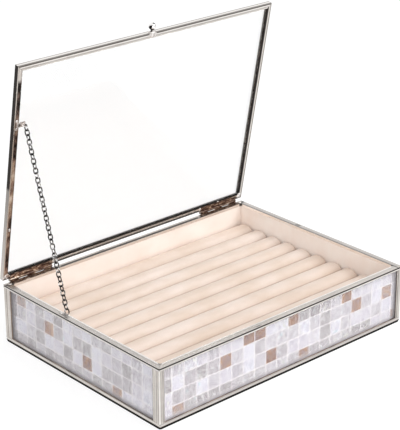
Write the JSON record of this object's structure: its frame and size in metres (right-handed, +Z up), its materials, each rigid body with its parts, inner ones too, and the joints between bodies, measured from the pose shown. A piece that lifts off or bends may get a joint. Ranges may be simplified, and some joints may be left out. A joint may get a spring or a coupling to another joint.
{
  "type": "glass jewelry box",
  "caption": "Shallow glass and mother-of-pearl jewelry box in a bright came frame, with velvet ring rolls and a hinged clear lid held by a chain.",
  "frame": {"origin": "centre of the case's footprint, on the surface that the pad under the case stands on", "axes": "+Z up, +X to the right along the hinge side, -Y to the front where the lid opens"},
  "size_m": [0.3, 0.2247, 0.2857],
  "materials": {
    "nickel_came": "bright nickel came with soft drawn lines and darker grooves",
    "lid_came": "bright nickel came around the lid",
    "side_glass": "clear polished float glass",
    "lid_glass": "clear polished float glass",
    "mother_of_pearl": "square shell tiles, pale lavender grey with a few rose brown ones, shimmering",
    "velvet_liner": "short pile velvet, pale peach",
    "velvet_rolls": "short pile velvet over foam, pale peach",
    "black_velvet_pad": "black flocked sheet",
    "base_board": "plain grey-brown board",
    "hinge_metal": "rolled sheet hinge, nickel plated, slightly dull",
    "pin_steel": "drawn wire",
    "knob_metal": "polished ball",
    "solder": "soft solder, slightly uneven",
    "chain_metal": "nickel plated steel wire links"
  },
  "bodies": {
    "case": {"base_pad": "black_velvet_pad", "base_panel": "base_board", "insert_board": "base_board", "foot_rail_front": "nickel_came", "foot_rail_rear": "nickel_came", "foot_rail_left": "nickel_came", "foot_rail_right": "nickel_came", "top_rail_front": "nickel_came", "top_rail_rear": "nickel_came", "top_rail_left": "nickel_came", "top_rail_right": "nickel_came", "corner_post_front_left": "nickel_came", "corner_post_front_right": "nickel_came", "corner_post_rear_left": "nickel_came", "corner_post_rear_right": "nickel_came", "side_glass_front": "side_glass", "side_glass_rear": "side_glass", "side_glass_left": "side_glass", "side_glass_right": "side_glass", "mosaic_front": "mother_of_pearl", "mosaic_rear": "mother_of_pearl", "mosaic_left": "mother_of_pearl", "mosaic_right": "mother_of_pearl", "liner_front": "velvet_liner", "liner_rear": "velvet_liner", "liner_left": "velvet_liner", "liner_right": "velvet_liner", "ring_roll_01": "velvet_rolls", "ring_roll_02": "velvet_rolls", "ring_roll_03": "velvet_rolls", "ring_roll_04": "velvet_rolls", "ring_roll_05": "velvet_rolls", "ring_roll_06": "velvet_rolls", "ring_roll_07": "velvet_rolls", "ring_roll_08": "velvet_rolls", "ring_roll_09": "velvet_rolls", "ring_roll_10": "velvet_rolls", "hinge_case_leaf_left": "hinge_metal", "hinge_case_leaf_right": "hinge_metal", "hinge_pin_left": "pin_steel", "hinge_pin_right": "pin_steel", "chain_anchor": "solder"},
    "lid": {"lid_rail_front": "lid_came", "lid_rail_rear": "lid_came", "lid_rail_left": "lid_came", "lid_rail_right": "lid_came", "lid_glass": "lid_glass", "hinge_lid_leaf_left": "hinge_metal", "hinge_lid_leaf_right": "hinge_metal", "lid_knob": "knob_metal", "chain_eye": "solder"},
    "chain_upper": {"chain_links_upper": "chain_metal"},
    "chain_turn": {"chain_links_turn": "chain_metal"},
    "chain_run": {"chain_links_run": "chain_metal"},
    "chain_bend": {"chain_links_bend": "chain_metal"},
    "chain_curl": {"chain_links_curl": "chain_metal"},
    "chain_end": {"chain_links_end": "chain_metal"}
  },
  "joints": [
    {"name": "lid_hinge", "type": "hinge", "parent": "case", "child": "lid", "pos_m": [0, 0.1112, 0.0595], "axis": [1, 0, 0], "range_deg": [0, 79]},
    {"name": "chain_upper_pivot", "type": "hinge", "parent": "lid", "child": "chain_upper", "pos_m": [-0.1406, 0.07519, 0.21906], "axis": [1, 0, 0], "range_deg": [-154.95, 0]},
    {"name": "chain_turn_pivot", "type": "hinge", "parent": "chain_upper", "child": "chain_turn", "pos_m": [-0.1406, 0.06685, 0.1914], "axis": [1, 0, 0], "range_deg": [0, 96.35]},
    {"name": "chain_run_pivot", "type": "hinge", "parent": "chain_turn", "child": "chain_run", "pos_m": [-0.1406, 0.06438, 0.1832], "axis": [1, 0, 0], "range_deg": [0, 84.26]},
    {"name": "chain_bend_pivot", "type": "hinge", "parent": "chain_run", "child": "chain_bend", "pos_m": [-0.1406, 0.03312, 0.07952], "axis": [1, 0, 0], "range_deg": [0, 47.06]},
    {"name": "chain_curl_pivot", "type": "hinge", "parent": "chain_bend", "child": "chain_curl", "pos_m": [-0.1406, 0.03065, 0.07131], "axis": [1, 0, 0], "range_deg": [0, 84.05]},
    {"name": "chain_end_pivot", "type": "hinge", "parent": "chain_curl", "child": "chain_end", "pos_m": [-0.1406, 0.02817, 0.06311], "axis": [1, 0, 0], "range_deg": [0, 106.05]}
  ],
  "couplings": [
    {"joint": "chain_upper_pivot", "follows": "lid_hinge", "ratio": -1.9608},
    {"joint": "chain_turn_pivot", "follows": "lid_hinge", "ratio": 1.219},
    {"joint": "chain_run_pivot", "follows": "lid_hinge", "ratio": 1.0658},
    {"joint": "chain_bend_pivot", "follows": "lid_hinge", "ratio": 0.59494},
    {"joint": "chain_curl_pivot", "follows": "lid_hinge", "ratio": 1.0633},
    {"joint": "chain_end_pivot", "follows": "lid_hinge", "ratio": 1.3418}
  ]
}
